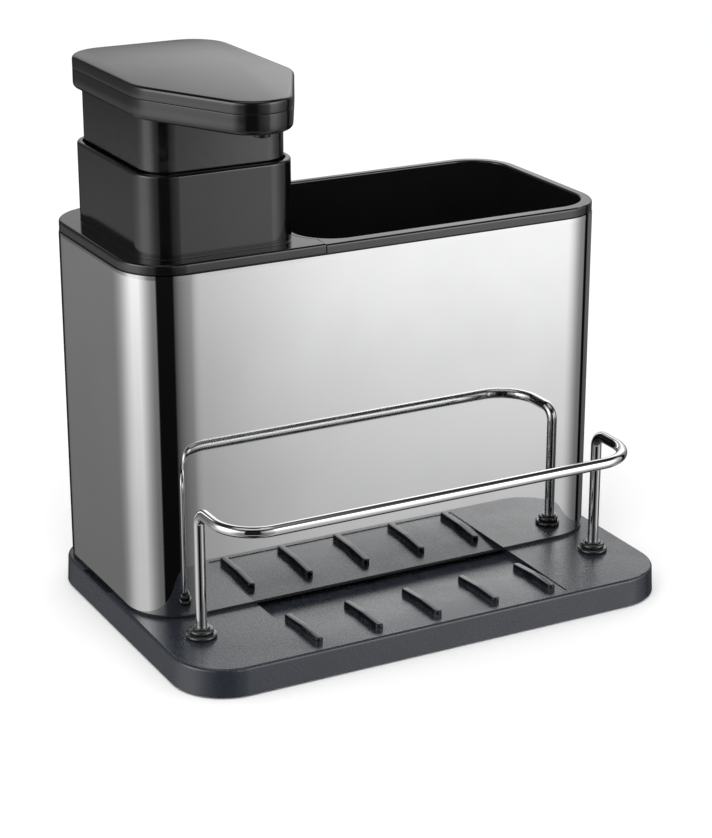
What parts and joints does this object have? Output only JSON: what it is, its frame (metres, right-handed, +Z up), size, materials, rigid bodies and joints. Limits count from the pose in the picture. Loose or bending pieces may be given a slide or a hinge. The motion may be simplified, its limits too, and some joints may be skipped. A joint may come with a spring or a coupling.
{
  "type": "soap pump caddy",
  "caption": "Polished steel countertop caddy with a press-down soap pump, an open brush cup and a ribbed drip tray with a wire sponge rail.",
  "frame": {"origin": "centre of the tray in plan, at the level the rubber feet stand on", "axes": "+Z up, +X to the right along the front, +Y to the back; the nozzle and the sponge rail are at -Y"},
  "size_m": [0.2052, 0.1412, 0.211],
  "materials": {
    "tray_plastic": "slate grey, fine satin grain",
    "foot_rubber": "black",
    "rail_chrome": "bright chrome",
    "bushing_plastic": "dark grey, glossy",
    "washer_steel": "zinc plated",
    "screw_steel": "zinc plated",
    "holder_plastic": "black",
    "polished_steel": "mirror-polished stainless steel sheet",
    "cup_plastic": "black, satin gloss",
    "bottle_plastic": "dark grey",
    "deck_plastic": "black, satin gloss",
    "gasket_rubber": "grey",
    "natural_plastic": "natural white",
    "cap_plastic": "dark grey",
    "ring_plastic": "dark grey",
    "tube_plastic": "natural, clear",
    "ball_steel": "polished stainless steel",
    "spring_steel": "stainless wire",
    "piston_plastic": "dark grey",
    "head_plastic": "black, satin gloss",
    "cover_plastic": "black, satin",
    "nozzle_plastic": "black"
  },
  "bodies": {
    "tray": {"base_tray": "tray_plastic", "tray_feet": "foot_rubber", "sponge_rail": "rail_chrome", "rail_bushings": "bushing_plastic", "rail_washers": "washer_steel", "rail_screws": "screw_steel"},
    "holder": {"holder_base": "holder_plastic", "steel_sleeve": "polished_steel"},
    "cup": {"brush_cup": "cup_plastic"},
    "bottle": {"soap_bottle": "bottle_plastic"},
    "pump": {"pump_deck": "deck_plastic", "deck_gasket": "gasket_rubber", "barrel_gasket": "gasket_rubber", "pump_barrel": "natural_plastic", "barrel_cap": "cap_plastic", "locking_ring": "ring_plastic", "dip_tube": "tube_plastic", "pump_spring": "spring_steel"},
    "suction_ball": {"inlet_ball": "ball_steel"},
    "head": {"head_body": "head_plastic", "head_cover": "cover_plastic", "nozzle_tip": "nozzle_plastic", "pump_stem": "natural_plastic", "piston": "piston_plastic", "piston_seal": "gasket_rubber"},
    "delivery_ball": {"outlet_ball": "ball_steel"}
  },
  "joints": [
    {"name": "holder_lift", "type": "slide", "parent": "tray", "child": "holder", "axis": [0, 0, 1], "range_m": [0, 0.06]},
    {"name": "cup_lift", "type": "slide", "parent": "holder", "child": "cup", "axis": [0, 0, 1], "range_m": [0, 0.135]},
    {"name": "bottle_lift", "type": "slide", "parent": "holder", "child": "bottle", "axis": [0, 0, 1], "range_m": [0, 0.135]},
    {"name": "pump_lift", "type": "slide", "parent": "bottle", "child": "pump", "axis": [0, 0, 1], "range_m": [0, 0.128]},
    {"name": "head_press", "type": "slide", "parent": "pump", "child": "head", "axis": [0, 0, -1], "range_m": [0, 0.018], "stiffness_N_per_m": 400, "springref_m": -0.0125, "deforming": ["pump_spring"]},
    {"name": "suction_ball_lift", "type": "slide", "parent": "pump", "child": "suction_ball", "axis": [0, 0, 1], "range_m": [0, 0.0012]},
    {"name": "delivery_ball_lift", "type": "slide", "parent": "head", "child": "delivery_ball", "axis": [0, 0, 1], "range_m": [0, 0.0012]}
  ]
}
